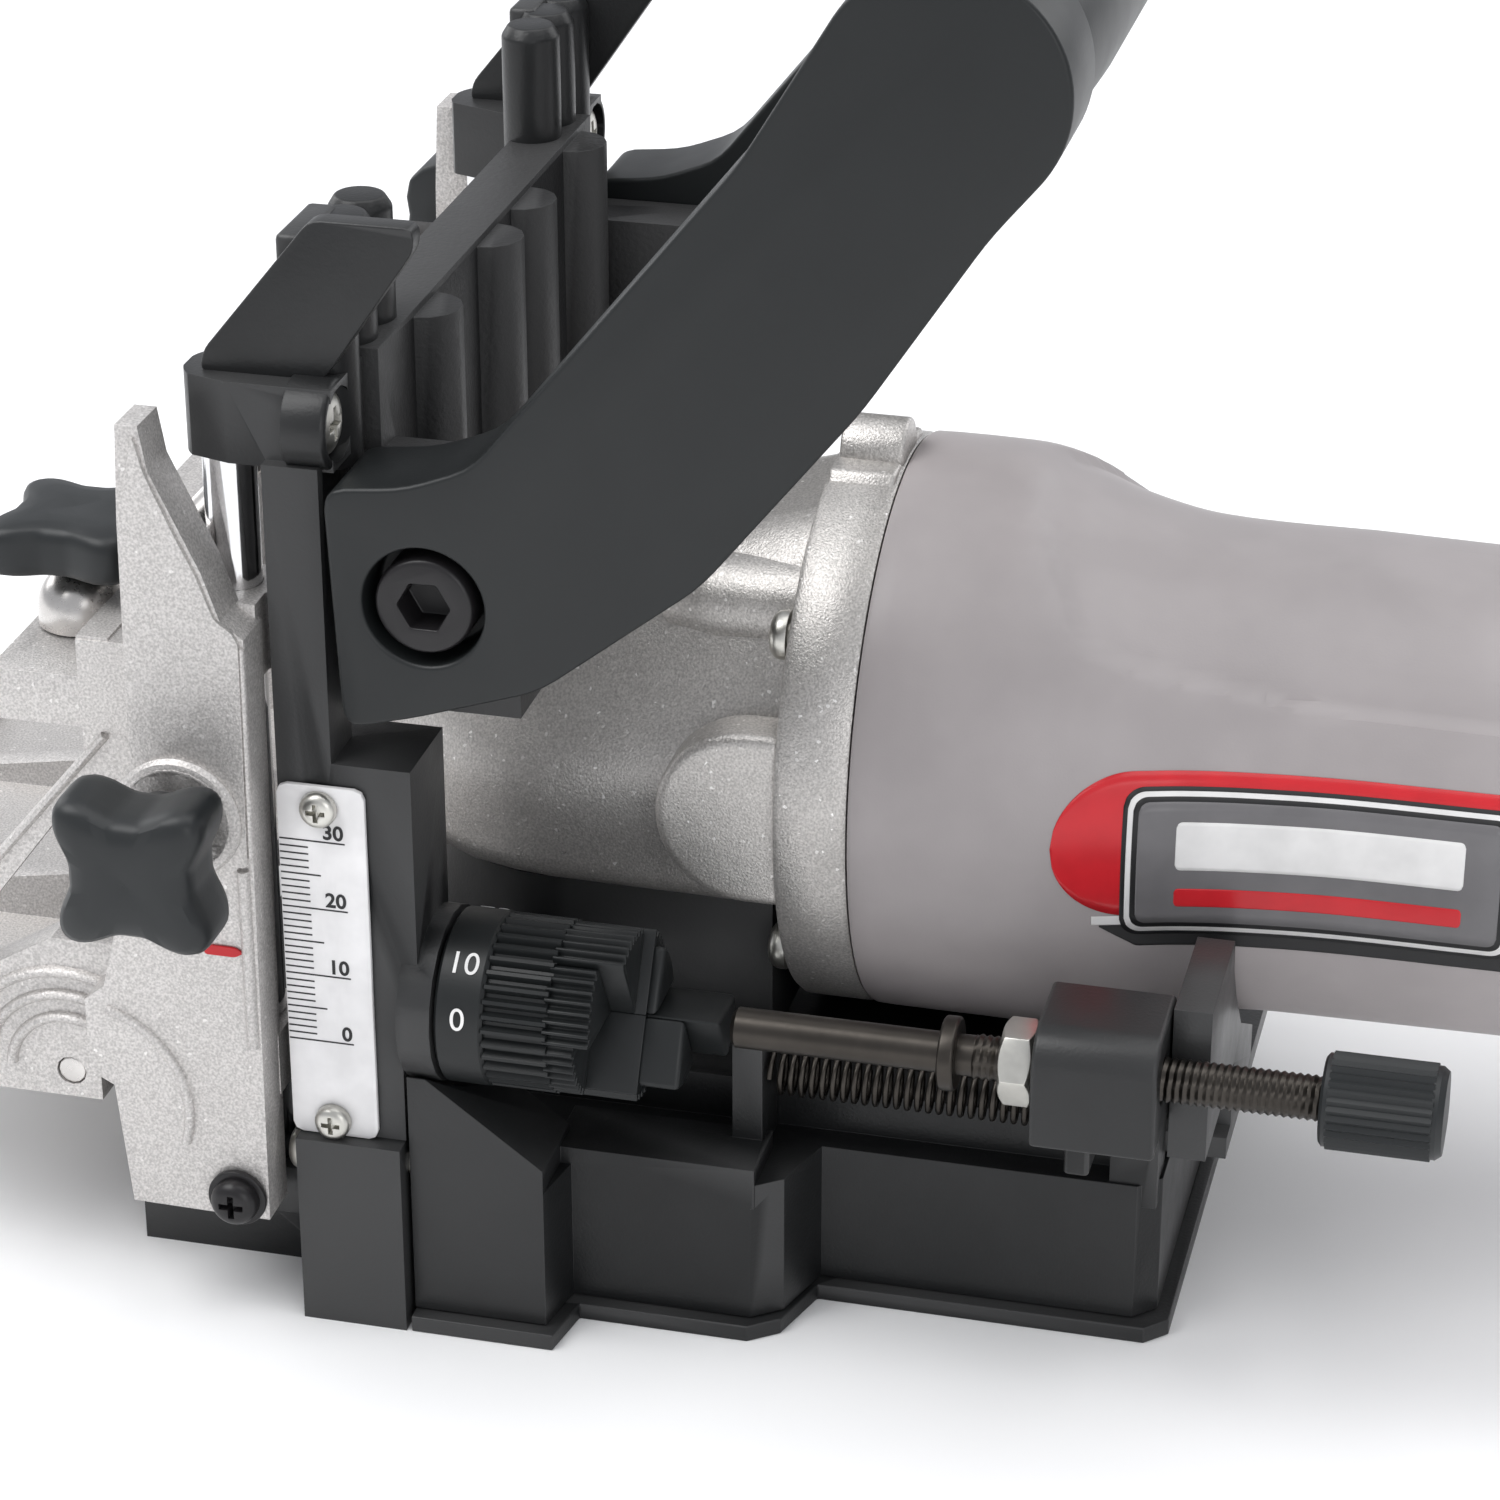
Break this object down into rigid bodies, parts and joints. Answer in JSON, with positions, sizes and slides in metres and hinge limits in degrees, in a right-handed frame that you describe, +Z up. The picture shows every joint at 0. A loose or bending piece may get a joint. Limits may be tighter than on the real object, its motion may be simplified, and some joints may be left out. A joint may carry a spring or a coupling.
{
  "type": "biscuit joiner",
  "caption": "Corded plate joiner: a motor carriage plunges a saw blade through the front plate, under a height-set tilting fence, against a turret depth stop.",
  "frame": {"origin": "centre of the bounding box in plan, on the underside of the base", "axes": "+Z up from the base; the blade, nose and fence face -Y; +X is the side with the depth turret"},
  "size_m": [0.176, 0.353, 0.1963],
  "materials": {
    "black_cast": "satin black paint over a casting",
    "black_plastic": "fine matt black",
    "die_cast": "bare die casting, faintly sparkling",
    "cast_fence": "bare sand-blasted casting",
    "housing_grey": "satin warm grey",
    "steel": "plain bright steel",
    "chrome": "polished",
    "dark_steel": "blackened steel",
    "scale_white": "white with black marks",
    "copper_lamination": "copper windings on steel laminations"
  },
  "bodies": {
    "base": {"base_shoe": "black_cast", "bottom_plate": "black_cast", "bottom_screw_1": "steel", "bottom_screw_2": "steel", "bottom_screw_3": "steel", "front_plate": "black_cast", "front_screw_left": "steel", "front_screw_right": "steel", "boss_screw_left": "steel", "boss_screw_right": "steel", "scale_plate": "scale_white", "scale_screw_lower": "steel", "scale_screw_upper": "steel", "upper_frame": "black_cast", "guide_rod_left": "chrome", "guide_rod_right": "chrome", "height_rack": "steel", "dust_port": "black_plastic", "return_spring": "dark_steel", "handle": "black_plastic", "handle_bolt_left": "dark_steel", "handle_bolt_right": "dark_steel"},
    "turret": {"depth_turret": "black_plastic"},
    "fence_slide": {"fence_slide": "cast_fence", "slide_screw_left": "dark_steel", "slide_screw_right": "dark_steel", "pivot_pin_left": "steel", "pivot_pin_right": "steel", "domed_nut": "steel"},
    "height_pinion": {"height_pinion": "steel", "height_knob": "black_plastic"},
    "height_lock": {"height_lock_knob": "black_plastic"},
    "tilt_lock": {"tilt_lock_knob": "black_plastic"},
    "fence": {"fence": "cast_fence"},
    "carriage": {"carriage_plate": "black_cast", "gear_case": "die_cast", "flange_screw_upper_left": "steel", "flange_screw_upper_right": "steel", "flange_screw_lower_left": "steel", "flange_screw_lower_right": "steel", "motor_housing": "housing_grey", "brush_cap_left": "black_plastic", "brush_cap_right": "black_plastic", "rear_cap": "housing_grey", "cord_gland": "black_plastic", "stator": "copper_lamination", "armature_bearing_front": "steel", "armature_bearing_rear": "steel", "spindle_bearing": "steel", "stop_lug": "black_cast", "stop_nut": "steel"},
    "spindle": {"spindle": "steel", "blade": "steel", "blade_nut": "dark_steel"},
    "armature": {"armature": "copper_lamination"},
    "switch": {"switch_slider": "black_plastic"},
    "spindle_lock": {"spindle_lock": "black_plastic"},
    "stop_feed": {"stop_collar": "dark_steel"},
    "stop_screw": {"stop_screw": "dark_steel", "stop_knob": "black_plastic"}
  },
  "joints": [
    {"name": "plunge", "type": "slide", "parent": "base", "child": "carriage", "axis": [0, -1, 0], "range_m": [0, 0.016], "stiffness_N_per_m": 900, "springref_m": -0.012, "deforming": ["return_spring"]},
    {"name": "spindle_turn", "type": "hinge", "parent": "carriage", "child": "spindle", "pos_m": [-0.002, -0.061, 0.0153], "axis": [0, 0, 1], "continuous": true},
    {"name": "armature_turn", "type": "hinge", "parent": "carriage", "child": "armature", "pos_m": [-0.002, 0.0295, 0.068], "axis": [0, 1, 0], "continuous": true},
    {"name": "switch_slide", "type": "slide", "parent": "carriage", "child": "switch", "axis": [0, -1, 0], "range_m": [0, 0.008]},
    {"name": "lock_press", "type": "slide", "parent": "carriage", "child": "spindle_lock", "axis": [0, 0, -1], "range_m": [0, 0.002], "stiffness_N_per_m": 400, "springref_m": -0.002},
    {"name": "stop_feed", "type": "slide", "parent": "carriage", "child": "stop_feed", "axis": [0, 1, 0], "range_m": [-0.0015, 0.004]},
    {"name": "stop_turn", "type": "hinge", "parent": "stop_feed", "child": "stop_screw", "pos_m": [0.06, 0.0025, 0.0509], "axis": [0, 1, 0], "range_deg": [-541, 1441]},
    {"name": "turret_turn", "type": "hinge", "parent": "base", "child": "turret", "pos_m": [0.054, -0.0655, 0.0474], "axis": [0, 1, 0], "range_deg": [-300, 0]},
    {"name": "fence_height", "type": "slide", "parent": "base", "child": "fence_slide", "axis": [0, 0, 1], "range_m": [-0.008, 0.018]},
    {"name": "height_pinion_turn", "type": "hinge", "parent": "fence_slide", "child": "height_pinion", "pos_m": [-0.002, -0.1015, 0.11], "axis": [1, 0, 0], "range_deg": [-210, 95]},
    {"name": "height_lock_turn", "type": "hinge", "parent": "fence_slide", "child": "height_lock", "pos_m": [0.068, -0.0979, 0.0771], "axis": [1, 0, 0], "range_deg": [-180, 180]},
    {"name": "tilt_lock_turn", "type": "hinge", "parent": "fence_slide", "child": "tilt_lock", "pos_m": [0.044, -0.1199, 0.1], "axis": [0, 0, 1], "range_deg": [-180, 180]},
    {"name": "fence_tilt", "type": "hinge", "parent": "fence_slide", "child": "fence", "pos_m": [-0.002, -0.119, 0.032], "axis": [-1, 0, 0], "range_deg": [0, 45]}
  ],
  "couplings": [
    {"joint": "armature_turn", "follows": "spindle_turn", "ratio": 3.3},
    {"joint": "stop_turn", "follows": "stop_feed", "rad_per_m": 6283.2},
    {"joint": "height_pinion_turn", "follows": "fence_height", "rad_per_m": -200}
  ]
}
